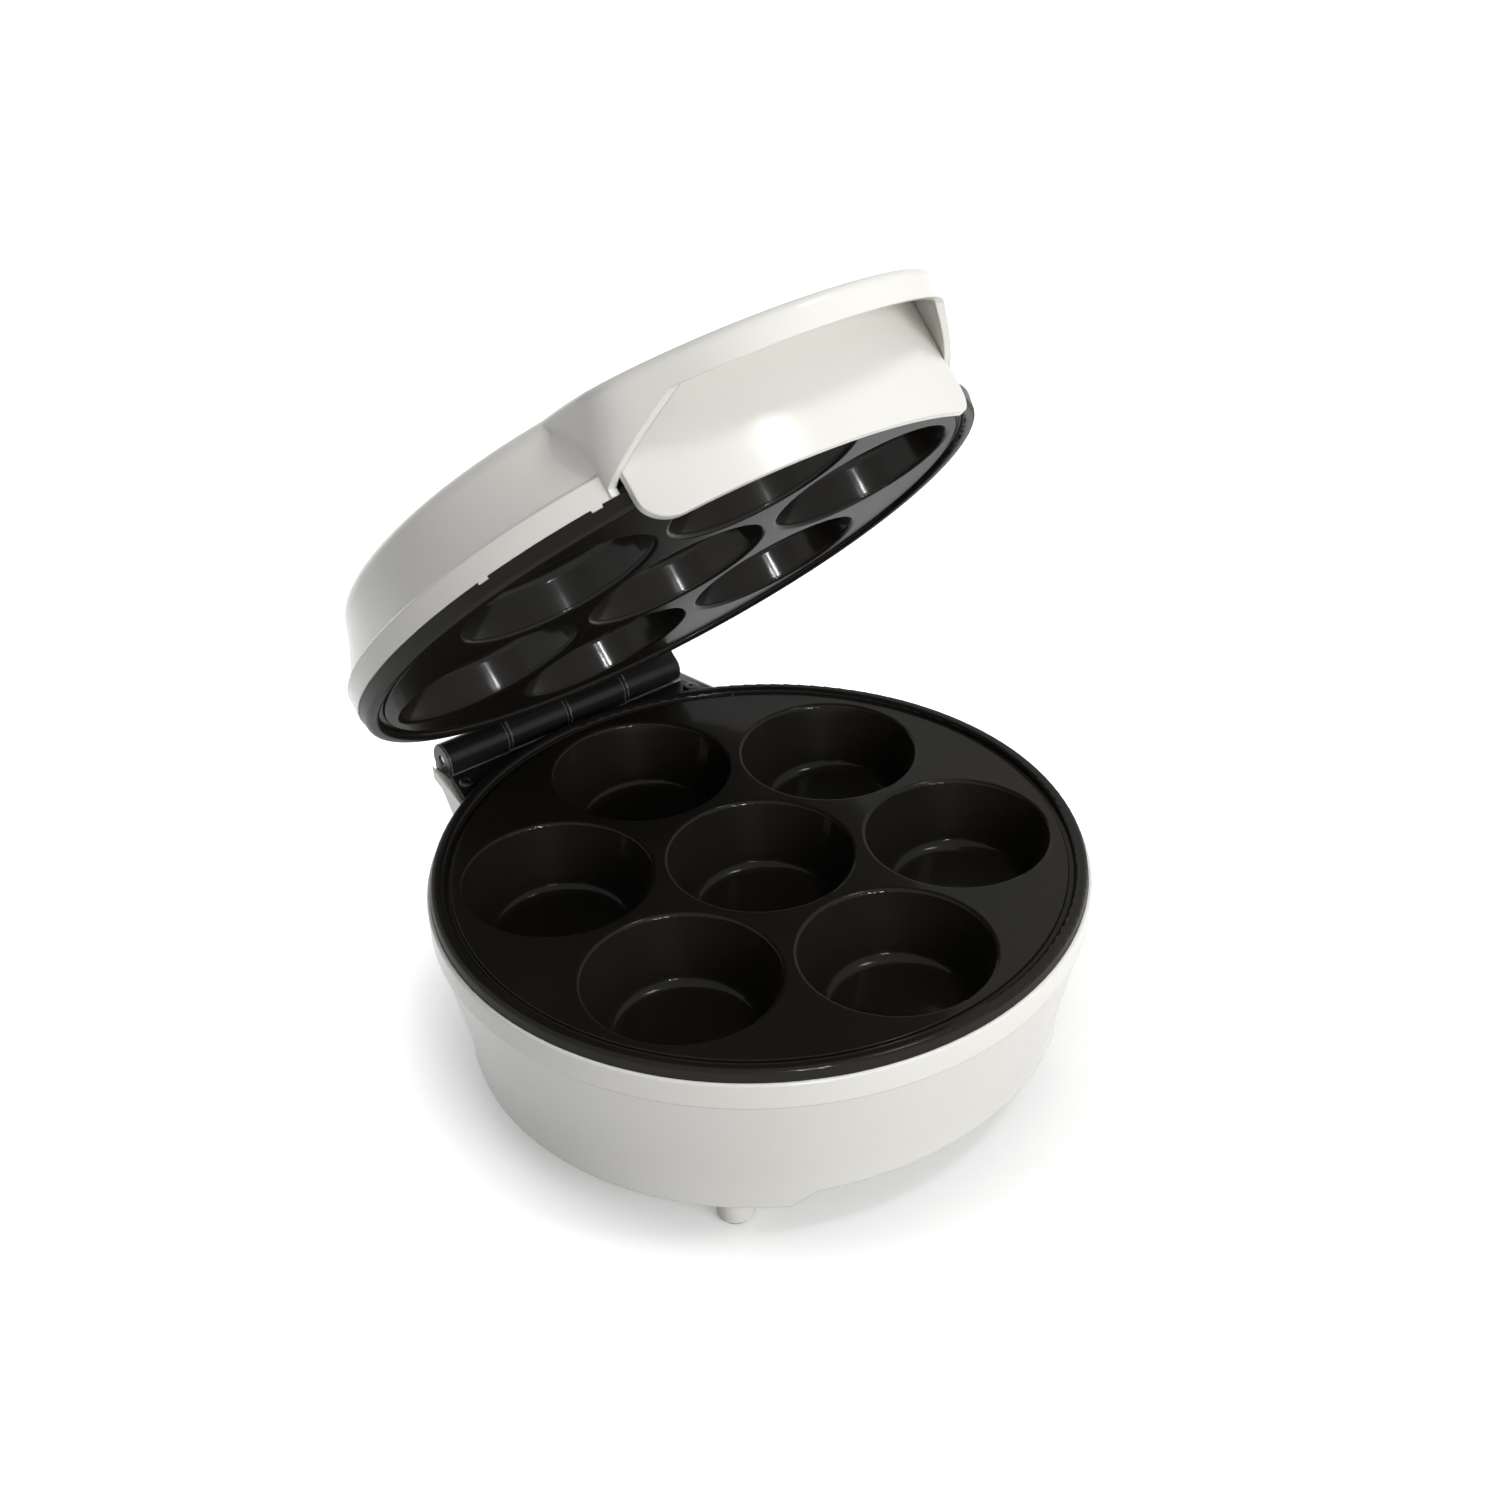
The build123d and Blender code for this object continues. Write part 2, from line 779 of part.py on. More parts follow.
with BuildPart() as base_hinge_leaf:
    with BuildSketch(Plane.XY.offset(leaf_bottom)):
        add(boss_outline(boss_lip + seat_gap, leaf_rear_y, boss_front_flare, boss_rear_flare))
        make_face()
        Circle(body_radius + seat_gap, mode=Mode.SUBTRACT)
        with Locations(base_leaf_screw_places):
            Circle(screw_radius + screw_gap, mode=Mode.SUBTRACT)
    extrude(amount=leaf_thickness)
    for number in (0, 2):
        add(knuckle_with_web(number, leaf_bottom, hinge_z, knuckle_radius))

with BuildPart() as lid_hinge_leaf:
    with BuildSketch(Plane.XY.offset(lid_leaf_bottom)):
        with Locations((0, (boss_start_y + leaf_rear_y) / 2)):
            Rectangle(hinge_length, leaf_rear_y - boss_start_y)
        Circle(lid_radius + seat_gap, mode=Mode.SUBTRACT)
        with Locations(lid_leaf_screw_places):
            Circle(screw_radius + screw_gap, mode=Mode.SUBTRACT)
    extrude(amount=leaf_thickness)
    for number in (1, 3):
        add(knuckle_with_web(number, hinge_z, lid_leaf_top, web_rear))

with BuildPart() as hinge_pin:
    with BuildSketch(Plane.YZ.offset(pin_inset - half_hinge)):
        with Locations((hinge_y, hinge_z)):
            Circle(pin_radius)
    extrude(amount=hinge_length - 2 * pin_inset)


# Lid shell: a shallow dome with the hood of the handle growing out of its front


def under_dome(drop):
    """Everything under the dome's surface, lowered by drop, out past the hood."""
    reach = hood_high_reach + overrun
    slope = reach / math.sqrt(dome_radius**2 - reach**2)
    with BuildPart() as room:
        with BuildSketch(Plane.YZ):
            with BuildLine():
                Spline(
                    (reach, dome_level(reach, drop)),
                    (reach * 2 / 3, dome_level(reach * 2 / 3, drop)),
                    (reach / 3, dome_level(reach / 3, drop)),
                    (0, dome_apex - drop),
                    tangents=[(-1, slope), (-1, 0)],
                )
                Polyline(
                    (0, dome_apex - drop),
                    (0, skirt_height),
                    (reach, skirt_height),
                    (reach, dome_level(reach, drop)),
                )
            make_face()
        revolve(axis=Axis.Z)
    return room.part


def lid_wall_line(inset):
    """The belly of the lid's wall, from its groove up past the dome, drawn in by inset."""
    band_top = lid_rim_height + lid_band_height
    corner = lid_radius - lid_shoulder_margin - inset
    with BuildLine() as belly:
        ThreePointArc(
            (lid_radius - lid_wall_step - inset, band_top + groove_height),
            (
                lid_radius - lid_wall_belly - inset,
                lid_rim_height + lid_wall_belly_height,
            ),
            (corner, dome_level(corner, inset) + overrun),
        )
    return belly.line


def lid_body(inset, beyond):
    """The lid's round body as a solid, drawn in from its outside by inset and past its rim."""
    band_top = lid_rim_height + lid_band_height
    corner = lid_radius - lid_shoulder_margin - inset
    with BuildPart() as body:
        with BuildSketch(Plane.YZ):
            with BuildLine():
                Polyline(
                    (corner, dome_level(corner, inset) + overrun),
                    (corner, dome_apex + overrun),
                    (0, dome_apex + overrun),
                    (0, lid_rim_height - beyond),
                    (lid_radius - inset, lid_rim_height - beyond),
                    (lid_radius - inset, band_top),
                    (lid_radius - lid_wall_step - inset, band_top + groove_height),
                )
                add(lid_wall_line(inset))
            make_face()
        revolve(axis=Axis.Z)
        add(under_dome(inset), mode=Mode.INTERSECT)
        rings = body.edges().filter_by(lambda edge: edge.is_closed).sort_by(Axis.Z)
        fillet(rings[-1], lid_shoulder_round)
    return body.part


def hood_outline(level, inset):
    """Plan of the hood at one level, drawn in from its outside by inset."""
    rise = (level - hood_low_height) / (hood_high_height - hood_low_height)
    half = hood_half_width - inset
    side = hood_low_side + rise * (hood_high_side - hood_low_side)
    reach = hood_low_reach + rise * (hood_high_reach - hood_low_reach) - inset
    front = []
    for low_width, low_reach, high_width, high_reach in zip(
        hood_low_width_shares,
        hood_low_reach_shares,
        hood_high_width_shares,
        hood_high_reach_shares,
    ):
        width = low_width + rise * (high_width - low_width)
        depth = low_reach + rise * (high_reach - low_reach)
        front.append((half * width, -(side + depth * (reach - side))))
    right = [(half, -side)] + front
    left = [(-x, y) for x, y in reversed(right)]
    with BuildSketch(Plane.XY.offset(level)) as plan:
        with BuildLine():
            Spline(
                *right,
                (0, -reach),
                *left,
                tangents=((0, -1), (0, 1)),
                tangent_scalars=(hood_turn_share, hood_turn_share),
            )
            Polyline((-half, -side), (-half, -hood_back_y), (half, -hood_back_y), (half, -side))
        make_face()
    return plan.sketch


def hood_body(inset, drop, low):
    """The hood as a loft between two of its outlines, trimmed under the dome's surface."""
    with BuildPart() as body:
        loft(sections=[hood_outline(low, inset), hood_outline(hood_cut_level, inset)])
        add(under_dome(drop), mode=Mode.INTERSECT)
    return body.part


def fold_outline(spot, rounding):
    """Plan of one fold at a spot of the lid's wall: an arc from the hood's side to the wall."""
    centre_x = hood_half_width + rounding - fold_cover
    centre_reach = spot.X + rounding - fold_cover
    centre = Vector(centre_x, -math.sqrt(centre_reach**2 - centre_x**2))
    to_side = Vector(-1, 0)
    to_wall = centre * (-1 / centre_reach)
    middle = (to_side + to_wall).normalized()
    inner_x = hood_half_width - fold_bite
    inner_radius = spot.X - fold_bite
    side_end = centre + to_side * rounding
    wall_end = centre + to_wall * rounding
    with BuildSketch(Plane.XY.offset(spot.Y)) as plan:
        with BuildLine():
            ThreePointArc(side_end, centre + middle * rounding, wall_end)
            Polyline(
                wall_end,
                wall_end + to_wall * fold_bite,
                (inner_x, -math.sqrt(inner_radius**2 - inner_x**2)),
                side_end + to_side * fold_bite,
                side_end,
            )
        make_face()
    return plan.sketch


with BuildPart() as folds:
    # Soft fill in both corners between the hood and the lid's wall
    wall_line = lid_wall_line(0)
    loft(
        sections=[
            fold_outline(wall_line @ place, fold_round * share)
            for place, share in zip(fold_place_shares, fold_round_shares)
        ]
    )
    mirror(about=Plane.YZ)

with BuildPart() as hood:
    # The hood's outside, with its top edge rounded
    add(hood_body(0, 0, lid_rim_height))
    crown = hood.faces().filter_by(GeomType.REVOLUTION).sort_by(Axis.Z)[-1]
    outside = [edge for edge in crown.edges() if edge.center().Y < -hood_back_y - overrun]
    fillet([edge for edge in outside if edge.center().Z < hood_cut_level - edge_round], hood_top_round)

with BuildPart() as hood_undercut:
    # Everything in front that lies below both the wings' slanting edge and the lip's edge
    undercut_reach = hood_high_reach + overrun
    slope = math.tan(math.radians(hood_edge_slope))
    with BuildSketch(Plane.YZ):
        with BuildLine():
            Polyline(
                (-hood_low_side, lid_rim_height - overrun),
                (-hood_low_side, hood_low_height),
                (-undercut_reach, hood_low_height + slope * (undercut_reach - hood_low_side)),
                (-undercut_reach, lid_rim_height - overrun),
                close=True,
            )
        make_face()
    extrude(amount=hood_half_width + overrun, both=True)
    add(under_dome(lip_height), mode=Mode.INTERSECT)

# Planes square to the dome at the lamps, and the places of the lamp plate's posts
lens_planes = []
for x, y in on_both_sides(lens_x, -lens_y):
    reach = math.hypot(x, y)
    normal = (x, y, math.sqrt(dome_radius**2 - reach**2))
    lens_planes.append(Plane(origin=(x, y, dome_level(reach, 0)), z_dir=normal))
lamp_post_places = on_both_sides(lamp_plate_length / 2 - lamp_post_margin, -lens_y)
lamp_plate_top = lid_pan_floor + sheet + lamp_plate_gap + lamp_plate_thickness
lamp_post_length = dome_level(lens_y, wall) - lamp_plate_top
lamp_length = lamp_post_length - lens_flange - lamp_gap

with BuildPart() as lid_shell:
    add(lid_body(0, 0))
    add(hood.part)
    add(folds.part)
    add(hood_undercut.part, mode=Mode.SUBTRACT)
    # Hinge boss over the lid's leaf
    with BuildSketch(Plane.XY.offset(lid_leaf_top)) as lid_boss_plan:
        add(
            boss_outline(
                0, hinge_y + lid_boss_rear, lid_boss_front_flare, lid_boss_rear_flare
            )
        )
        make_face()
        fillet(lid_boss_plan.vertices().group_by(Axis.Y)[-1], boss_corner_round)
    lid_boss = extrude(amount=lid_boss_height, mode=Mode.PRIVATE)
    add(lid_boss.fillet(lid_boss_round, lid_boss.edges().group_by(Axis.Z)[-1]))
    # Hollow inside; the hood's own room takes away the wall in its width
    add(lid_body(wall, overrun), mode=Mode.SUBTRACT)
    add(hood_body(hood_wall, wall, lid_rim_height - overrun), mode=Mode.SUBTRACT)
    # Clip tabs that hold the plate's rim
    with BuildSketch(Plane.XY.offset(lid_rim_height - clip_height)):
        for angle in clip_angles:
            with Locations(Rotation(0, 0, angle) * Pos(clip_ring, 0)):
                Rectangle(clip_reach, clip_width)
    extrude(amount=clip_height + wall)
    # Posts for the lamp plate
    with BuildSketch(Plane.XY.offset(lamp_plate_top)):
        with Locations(lamp_post_places):
            Circle(lamp_post_radius)
    extrude(amount=lamp_post_length + wall / 2)
    with BuildSketch(Plane.XY.offset(lamp_plate_top)):
        with Locations(lamp_post_places):
            Circle(lamp_spigot_radius)
    extrude(amount=-lamp_plate_thickness)
    # Holes for the lamp lenses and pilot holes for the leaf's screws
    for plane in lens_planes:
        with BuildSketch(plane):
            Circle(lens_radius + screw_gap)
        extrude(amount=wall + overrun, both=True, mode=Mode.SUBTRACT)
    with BuildSketch(Plane.XY.offset(lid_leaf_top)):
        with Locations(lid_leaf_screw_places):
            Circle(screw_radius + screw_gap)
    extrude(amount=screw_bite + tip_gap, mode=Mode.SUBTRACT)


# Apron: the upright wall behind the finger space, seated between the wings under the dome

with BuildPart() as hood_walls:
    # The hood's walls, thicker inside by the gap that the apron keeps from them
    add(hood_body(0, 0, lid_rim_height))
    add(hood_undercut.part, mode=Mode.SUBTRACT)
    add(
        hood_body(hood_wall + seat_gap, wall + seat_gap, lid_rim_height - overrun),
        mode=Mode.SUBTRACT,
    )

with BuildPart() as handle_apron:
    apron_height = hood_high_height - apron_bottom
    with BuildSketch(Plane.XZ) as apron_front:
        with Locations((0, apron_bottom + apron_height / 2)):
            Rectangle(2 * apron_half_width, apron_height)
        fillet(apron_front.vertices().group_by(Axis.Y)[0], apron_corner_round)
    extrude(amount=body_radius + overrun)
    with BuildSketch(Plane.XY.offset(apron_bottom)):
        Circle(apron_radius)
        Circle(apron_radius - apron_thickness, mode=Mode.SUBTRACT)
    extrude(amount=apron_height, mode=Mode.INTERSECT)
    add(under_dome(wall + seat_gap), mode=Mode.INTERSECT)
    add(hood_walls.part, mode=Mode.SUBTRACT)


# Indicator lamps: two lenses in the dome, and their lamps on a small plate under it

lens_seat = wall + screw_gap


def lens(plane):
    """One lens: a flange under the dome and a stem through it with a rounded edge."""
    with BuildPart() as piece:
        with BuildSketch(plane.offset(-lens_seat)):
            Circle(lens_radius)
        stem = extrude(amount=lens_seat + lens_rise)
        top = stem.faces().sort_by_distance(plane.offset(overrun).origin)[0]
        fillet(top.edges(), lens_round)
        with BuildSketch(plane.offset(-lens_seat)):
            Circle(lens_flange_radius)
        extrude(amount=-lens_flange)
    return piece.part


with BuildPart() as power_lens:
    add(lens(lens_planes[0]))

with BuildPart() as ready_lens:
    add(lens(lens_planes[1]))

with BuildPart() as lamp_plate:
    with BuildSketch(Plane.XY.offset(lamp_plate_top)):
        with Locations((0, -lens_y)):
            Rectangle(lamp_plate_length, lamp_plate_width)
        with Locations(lamp_post_places):
            Circle(lamp_spigot_radius + screw_gap, mode=Mode.SUBTRACT)
    extrude(amount=-lamp_plate_thickness)
    with BuildSketch(Plane.XY.offset(lamp_plate_top)):
        with Locations(on_both_sides(lens_x, -lens_y)):
            Circle(lamp_radius)
    extrude(amount=lamp_length)
    fillet(lamp_plate.edges().group_by(Axis.Z)[-1], lens_round)


# Cord inlet: a flanged bush through the rear wall

gland_seat_y = waist_radius + gland_seat_rise

with BuildPart() as cord_gland:
    with BuildSketch(Plane.XZ.offset(-gland_seat_y - gland_flange)):
        with Locations((0, gland_height)):
            Circle(gland_flange_radius)
    flange = extrude(amount=gland_flange)
    fillet(flange.edges().group_by(Axis.Y)[-1], lens_round)
    with BuildSketch(Plane.XZ.offset(-gland_seat_y)):
        with Locations((0, gland_height)):
            Circle(gland_radius)
    extrude(amount=gland_inner)
    with BuildSketch(Plane.XZ.offset(-gland_seat_y - gland_flange)):
        with Locations((0, gland_height)):
            Circle(gland_bore)
    extrude(amount=gland_inner + gland_flange, mode=Mode.SUBTRACT)


# Terminal block on the bottom cover, thermostat under the middle well, thermal fuse under the pan

with BuildPart() as terminal_block:
    with BuildSketch(Plane.XY.offset(cover_top)):
        with Locations(block_place):
            Rectangle(block_length, block_width)
    extrude(amount=block_height)
    with BuildSketch(Plane.XY.offset(cover_top + block_height)):
        with Locations(block_place):
            with GridLocations(block_pitch, 0, block_ways, 1):
                Circle(block_screw_radius)
    extrude(amount=-block_screw_depth, mode=Mode.SUBTRACT)

with BuildPart() as thermostat:
    with BuildSketch(Plane.XY.offset(base_cup_bottom)):
        Circle(thermostat_radius)
    extrude(amount=-thermostat_depth)
    with BuildSketch(Plane.XY.offset(base_pan_floor)):
        Circle(thermostat_flange_radius)
    extrude(amount=thermostat_flange)
    with BuildSketch(Plane.XY.offset(base_cup_bottom - thermostat_depth)):
        with GridLocations(thermostat_tab_pitch, 0, 2, 1):
            Rectangle(sheet, thermostat_tab_width)
    extrude(amount=-thermostat_tab_length)

with BuildPart() as thermal_fuse:
    fuse_level = base_pan_floor - sheet - fuse_radius
    fuse_start = Plane.YZ.offset(-fuse_length / 2)
    with BuildSketch(fuse_start):
        with Locations((fuse_y, fuse_level)):
            Circle(fuse_radius)
    extrude(amount=fuse_length)
    with BuildSketch(fuse_start.offset(-fuse_lead_length)):
        with Locations((fuse_y, fuse_level)):
            Circle(fuse_lead_radius)
    extrude(amount=fuse_length + 2 * fuse_lead_length)


# Every piece with the name of its file; the lid's pieces are swung up on the hinge

base_pieces = {
    "base_shell": base_shell,
    "bottom_cover": bottom_cover,
    "cover_screws": cover_screws,
    "feet": feet,
    "foot_pads": foot_pads,
    "lower_plate": lower_plate,
    "lower_element": lower_element,
    "lower_reflector": lower_reflector,
    "lower_pan_screws": lower_pan_screws,
    "thermostat": thermostat,
    "thermal_fuse": thermal_fuse,
    "terminal_block": terminal_block,
    "cord_gland": cord_gland,
    "base_hinge_leaf": base_hinge_leaf,
    "base_leaf_screws": base_leaf_screws,
    "hinge_pin": hinge_pin,
}
lid_pieces = {
    "lid_shell": lid_shell,
    "handle_apron": handle_apron,
    "upper_plate": upper_plate,
    "upper_element": upper_element,
    "upper_reflector": upper_reflector,
    "upper_pan_screws": upper_pan_screws,
    "lid_hinge_leaf": lid_hinge_leaf,
    "lid_leaf_screws": lid_leaf_screws,
    "lamp_plate": lamp_plate,
    "power_lens": power_lens,
    "ready_lens": ready_lens,
}
swing = (
    Pos(0, hinge_y, hinge_z) * Rotation(-rest_angle, 0, 0) * Pos(0, -hinge_y, -hinge_z)
)
standing = {name: piece.part for name, piece in base_pieces.items()}
standing.update({name: piece.part.moved(swing) for name, piece in lid_pieces.items()})

# The frame's origin: under the middle of the whole object as it stands open
lows = [piece.bounding_box().min.Y for piece in standing.values()]
highs = [piece.bounding_box().max.Y for piece in standing.values()]
centring = Pos(0, -(min(lows) + max(highs)) / 2, 0)

for name, piece in standing.items():
    placed = piece.moved(centring)
    placed.label = name
    export_step(placed, f"parts/{name}.step")
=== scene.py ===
import json
import math

import bpy
from mathutils import Matrix, Vector


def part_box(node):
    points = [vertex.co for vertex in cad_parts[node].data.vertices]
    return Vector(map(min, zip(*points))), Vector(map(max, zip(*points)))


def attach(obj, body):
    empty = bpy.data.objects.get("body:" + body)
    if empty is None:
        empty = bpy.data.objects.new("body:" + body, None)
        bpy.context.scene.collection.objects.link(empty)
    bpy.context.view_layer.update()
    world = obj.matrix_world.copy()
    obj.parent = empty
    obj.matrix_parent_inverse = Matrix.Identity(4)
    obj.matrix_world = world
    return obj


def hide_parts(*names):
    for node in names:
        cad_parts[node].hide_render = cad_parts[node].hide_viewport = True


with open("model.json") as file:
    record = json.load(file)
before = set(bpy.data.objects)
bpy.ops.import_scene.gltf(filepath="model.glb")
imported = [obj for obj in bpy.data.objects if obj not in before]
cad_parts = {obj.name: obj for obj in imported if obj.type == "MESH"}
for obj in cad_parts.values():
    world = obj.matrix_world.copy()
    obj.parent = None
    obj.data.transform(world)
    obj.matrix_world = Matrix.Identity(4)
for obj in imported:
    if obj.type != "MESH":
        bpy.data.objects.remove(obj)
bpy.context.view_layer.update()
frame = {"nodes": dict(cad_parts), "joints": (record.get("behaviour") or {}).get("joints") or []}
nodes = frame["nodes"]


# Base body. One injection moulding in off-white ABS with a polished outside. The band round
# its rim, the groove below the band and the waist come from the mould, and so does the boss
# at the back that carries the hinge.


def colour(red, green, blue):
    """A colour as a paint chart gives it, 0 to 255, turned into light."""
    chart = [part / 255 for part in (red, green, blue)]
    light = [c / 12.92 if c <= 0.04045 else ((c + 0.055) / 1.055) ** 2.4 for c in chart]
    return (*light, 1.0)


def put(tree, kind, inputs=None, **settings):
    """Adds a shader node. An input is a plain value or another node's output."""
    made = tree.nodes.new(kind)
    for name, value in settings.items():
        setattr(made, name, value)
    for name, value in (inputs or {}).items():
        if isinstance(value, bpy.types.NodeSocket):
            tree.links.new(value, made.inputs[name])
        else:
            made.inputs[name].default_value = value
    return made


def effect(name, takes, gives):
    """An empty shader group with named inputs and outputs."""
    tree = bpy.data.node_groups.new(name, "ShaderNodeTree")
    for label, kind in takes.items():
        tree.interface.new_socket(name=label, in_out="INPUT", socket_type="NodeSocket" + kind)
    for label, kind in gives.items():
        tree.interface.new_socket(name=label, in_out="OUTPUT", socket_type="NodeSocket" + kind)
    return tree, tree.nodes.new("NodeGroupInput").outputs, tree.nodes.new("NodeGroupOutput").inputs


def blend_of(tree, share, first, second):
    """The mix of two colours by a share."""
    mixed = put(tree, "ShaderNodeMix", {0: share, 6: first, 7: second}, data_type="RGBA")
    return mixed.outputs[2]


def worked(tree, operation, *values):
    """The result of one sum on numbers."""
    return put(tree, "ShaderNodeMath", dict(enumerate(values)), operation=operation).outputs[0]


def noise_over(tree, scale, detail, low, high):
    """A noise on the piece's own place, spread from low to high, and the bare noise."""
    place = put(tree, "ShaderNodeTexCoord").outputs["Object"]
    noise = put(tree, "ShaderNodeTexNoise", {"Vector": place, "Scale": scale, "Detail": detail})
    spread = put(
        tree, "ShaderNodeMapRange",
        {"Value": noise.outputs["Fac"], "From Min": 0.3, "From Max": 0.7,
         "To Min": low, "To Max": high},
    )
    return spread.outputs["Result"], noise.outputs["Fac"]


# Grain: slow drifts of tone, and a fine grain of gloss and relief, as a moulded skin has.
grain, given, handed = effect(
    "surface_grain",
    {"Colour": "Color", "Second Colour": "Color", "Drift": "Float", "Grain": "Float",
     "Gloss Low": "Float", "Gloss High": "Float"},
    {"Colour": "Color", "Roughness": "Float", "Height": "Float"},
)
drift_share, _ = noise_over(grain, given["Drift"], 3.0, 0.0, 1.0)
gloss, fine = noise_over(grain, given["Grain"], 4.0, given["Gloss Low"], given["Gloss High"])
grain.links.new(blend_of(grain, drift_share, given["Colour"], given["Second Colour"]), handed["Colour"])
grain.links.new(gloss, handed["Roughness"])
grain.links.new(fine, handed["Height"])

# Edge tone: the tone changes where the surface turns sharply, broken up by a noise, and the
# sharpest edges are a little rounded. The edge colour is mostly a painted glint and painted
# reflection along the edges, with some wear.
glint_edges, given, handed = effect(
    "edge_glint_and_wear",
    {"Colour": "Color", "Edge Colour": "Color", "Reach": "Float", "Amount": "Float"},
    {"Colour": "Color", "Normal": "Vector"},
)
rounded = put(glint_edges, "ShaderNodeBevel", {"Radius": given["Reach"]}, samples=4).outputs["Normal"]
straight = put(glint_edges, "ShaderNodeNewGeometry").outputs["Normal"]
turned = put(glint_edges, "ShaderNodeVectorMath", {0: rounded, 1: straight}, operation="DOT_PRODUCT")
sharpness = worked(glint_edges, "SUBTRACT", 1.0, turned.outputs["Value"])
broken, _ = noise_over(glint_edges, 260.0, 3.0, 0.3, 1.0)
strength = worked(glint_edges, "MULTIPLY", worked(glint_edges, "MULTIPLY", sharpness, given["Amount"]), broken)
edge_share = put(glint_edges, "ShaderNodeClamp", {"Value": strength}).outputs["Result"]
glint_edges.links.new(blend_of(glint_edges, edge_share, given["Colour"], given["Edge Colour"]), handed["Colour"])
glint_edges.links.new(rounded, handed["Normal"])


def skin(name, tones, drift, fineness, gloss, relief, edge=None, **constants):
    """A material from the grain group and, where an edge is given, from the painted edge glints too.

    tones are the two colours it drifts between and gloss the two ends of its roughness. drift
    and fineness are how many waves of tone and of grain go to a metre, and relief is the depth
    of the grain in metres. edge is the colour painted along its sharp edges, mostly a painted
    glint and painted reflection, with its reach and amount. The constants go on the shader's
    own sockets.
    """
    material = bpy.data.materials.new(name)
    material.use_nodes = True
    tree = material.node_tree
    shader = tree.nodes["Principled BSDF"]
    surface = put(
        tree, "ShaderNodeGroup",
        {"Colour": tones[0], "Second Colour": tones[1], "Drift": drift, "Grain": fineness,
         "Gloss Low": gloss[0], "Gloss High": gloss[1]},
        node_tree=grain,
    )
    tone = surface.outputs["Colour"]
    pressed = {"Strength": 1.0, "Distance": relief, "Height": surface.outputs["Height"]}
    if edge:
        edge_painted = put(
            tree, "ShaderNodeGroup",
            {"Colour": tone, "Edge Colour": edge[0], "Reach": edge[1], "Amount": edge[2]},
            node_tree=glint_edges,
        )
        tone = edge_painted.outputs["Colour"]
        pressed["Normal"] = edge_painted.outputs["Normal"]
    bump = put(tree, "ShaderNodeBump", pressed)
    tree.links.new(tone, shader.inputs["Base Color"])
    tree.links.new(surface.outputs["Roughness"], shader.inputs["Roughness"])
    tree.links.new(bump.outputs["Normal"], shader.inputs["Normal"])
    for socket, value in constants.items():
        shader.inputs[socket.replace("_", " ")].default_value = value
    return material


def dress(node, material):
    """Gives a CAD node its material."""
    nodes[node].data.materials.clear()
    nodes[node].data.materials.append(material)


white_moulding = skin(
    "white_moulding", (colour(238, 237, 232), colour(233, 231, 225)),
    drift=9.0, fineness=1400.0, gloss=(0.18, 0.25), relief=0.000003,
    edge=(colour(240, 239, 235), 0.0007, 0.3), IOR=1.5, Specular_IOR_Level=0.4,
)
dress("base_shell", white_moulding)


# Bottom cover. A flat moulding in the same plastic with a spark-etched face and vent slots,
# let into the skirt from below and held by four screws.

cover_moulding = skin(
    "cover_moulding", (colour(228, 227, 221), colour(221, 219, 212)),
    drift=14.0, fineness=900.0, gloss=(0.48, 0.60), relief=0.00003, IOR=1.5,
)
dress("bottom_cover", cover_moulding)


# Feet and pads. Four short moulded feet in the plastic of the body, set under the cover, each
# with a soft rubber pad pressed into its end.

dress("feet", white_moulding)
pad_rubber = skin(
    "pad_rubber", (colour(66, 65, 63), colour(54, 53, 52)),
    drift=40.0, fineness=1500.0, gloss=(0.72, 0.90), relief=0.00004,
    IOR=1.45, Specular_IOR_Level=0.35,
)
dress("foot_pads", pad_rubber)


# Baking plates. Cast aluminium, coated with a black satin non-stick layer with a very fine spray
# grain. Its two tones are painted a little warm and light, a painted reflection of a warm brown
# sheen, and its beads and the wells' rims are painted browner, a painted reflection along them.

nonstick = skin(
    "nonstick_coat", (colour(23, 22, 20), colour(30, 27, 23)),
    drift=22.0, fineness=2600.0, gloss=(0.36, 0.46), relief=0.000003,
    edge=(colour(92, 80, 58), 0.0006, 0.8), IOR=1.45, Specular_IOR_Level=0.04,
    Coat_Weight=0.10, Coat_Roughness=0.11, Coat_IOR=1.9,
)
dress("lower_plate", nonstick)
dress("upper_plate", nonstick)


# Heating elements. Tubes of stainless sheath, bent to an open ring behind each plate and dulled
# by heat.

heated_sheath = skin(
    "heated_sheath", (colour(142, 134, 124), colour(98, 92, 96)),
    drift=45.0, fineness=900.0, gloss=(0.35, 0.55), relief=0.00001, Metallic=1.0,
)
dress("lower_element", heated_sheath)
dress("upper_element", heated_sheath)


# Reflector pans. Pressed from aluminium sheet. Each holds its element against its plate and
# sends the heat back.

pan_sheet = skin(
    "pan_sheet", (colour(206, 207, 209), colour(188, 188, 190)),
    drift=18.0, fineness=600.0, gloss=(0.28, 0.42), relief=0.00001, Metallic=1.0,
)
dress("lower_reflector", pan_sheet)
dress("upper_reflector", pan_sheet)


# Plated steel: the screws of the pans, the pin of the hinge and the cap of the thermostat. All
# are turned or pressed and bright zinc plated.

plated_steel = skin(
    "plated_steel", (colour(190, 190, 192), colour(168, 168, 172)),
    drift=60.0, fineness=2200.0, gloss=(0.20, 0.34), relief=0.000006, Metallic=1.0,
)
for name in ("lower_pan_screws", "upper_pan_screws", "hinge_pin", "thermostat"):
    dress(name, plated_steel)


# Electrical pieces inside the base: a terminal block of fired steatite, and the fuse in its
# ceramic sleeve, clamped to the pan.

steatite = skin(
    "steatite", (colour(232, 226, 208), colour(220, 211, 190)),
    drift=120.0, fineness=1800.0, gloss=(0.45, 0.62), relief=0.00002, IOR=1.55,
)
dress("terminal_block", steatite)
dress("thermal_fuse", steatite)


# Cord inlet. A bushing moulded in a slightly greyer plastic and snapped into the rear wall of
# the base.

